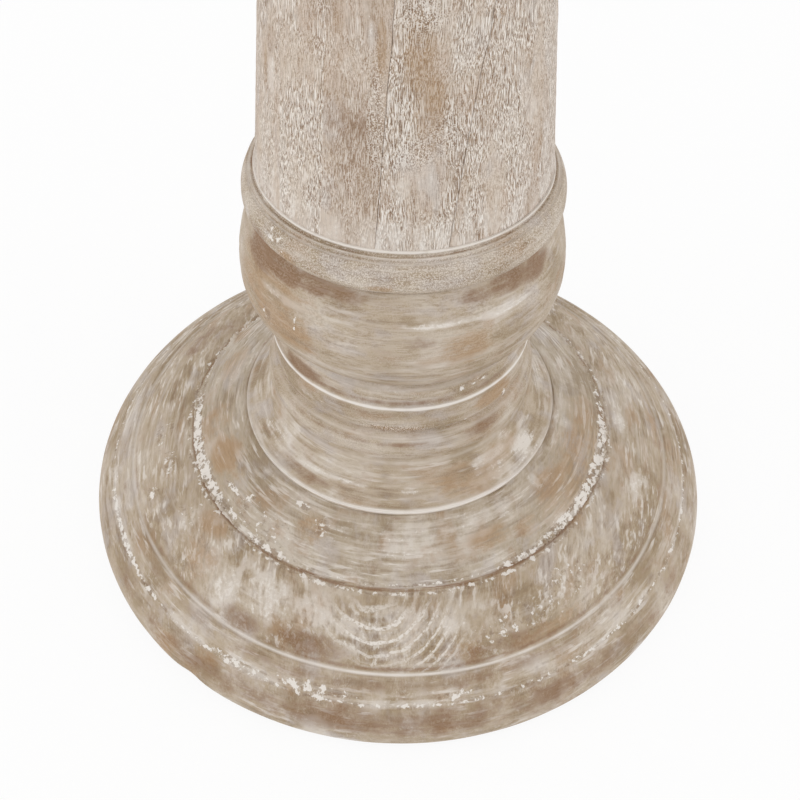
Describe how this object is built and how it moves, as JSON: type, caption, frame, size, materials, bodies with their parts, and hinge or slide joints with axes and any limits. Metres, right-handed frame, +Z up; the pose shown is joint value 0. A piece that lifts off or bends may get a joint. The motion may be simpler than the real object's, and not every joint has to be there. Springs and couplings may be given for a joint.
{
  "type": "pedestal side table",
  "caption": "Round side table on a turned pedestal: stepped round foot, cove, cushion and bead mouldings and a tapered shaft, in limewashed wood.",
  "frame": {"origin": "on the floor, on the pedestal's axis", "axes": "+Z up along the pedestal's axis, -Y towards the side that the picture shows"},
  "size_m": [0.508, 0.508, 0.61],
  "materials": {
    "foot_wood": "limewashed, wiped and sanded, matt",
    "moulding_wood": "limewashed, wiped and sanded, matt",
    "shaft_wood": "limewashed, wiped and sanded, matt",
    "top_wood": "limewashed, wiped and sanded, matt",
    "steel": "zinc plated",
    "felt": "pressed felt"
  },
  "bodies": {
    "root": {"foot_board_left": "foot_wood", "foot_board_middle": "foot_wood", "foot_board_right": "foot_wood", "foot_upper_disc": "foot_wood", "cove_disc": "moulding_wood", "ring_disc": "moulding_wood", "cushion_disc": "moulding_wood", "bead_disc": "moulding_wood", "shaft_board_1": "shaft_wood", "shaft_board_2": "shaft_wood", "shaft_board_3": "shaft_wood", "shaft_board_4": "shaft_wood", "shaft_board_5": "shaft_wood", "shaft_board_6": "shaft_wood", "collar_ring": "moulding_wood", "capital_disc": "moulding_wood", "sub_top_left": "top_wood", "sub_top_middle": "top_wood", "sub_top_right": "top_wood", "top_board_1": "top_wood", "top_board_2": "top_wood", "top_board_3": "top_wood", "top_board_4": "top_wood", "top_board_5": "top_wood", "top_board_6": "top_wood", "tie_rod": "steel", "lower_washer": "steel", "lower_nut": "steel", "upper_washer": "steel", "upper_nut": "steel", "top_screws": "steel", "felt_pads": "felt"}
  },
  "joints": []
}
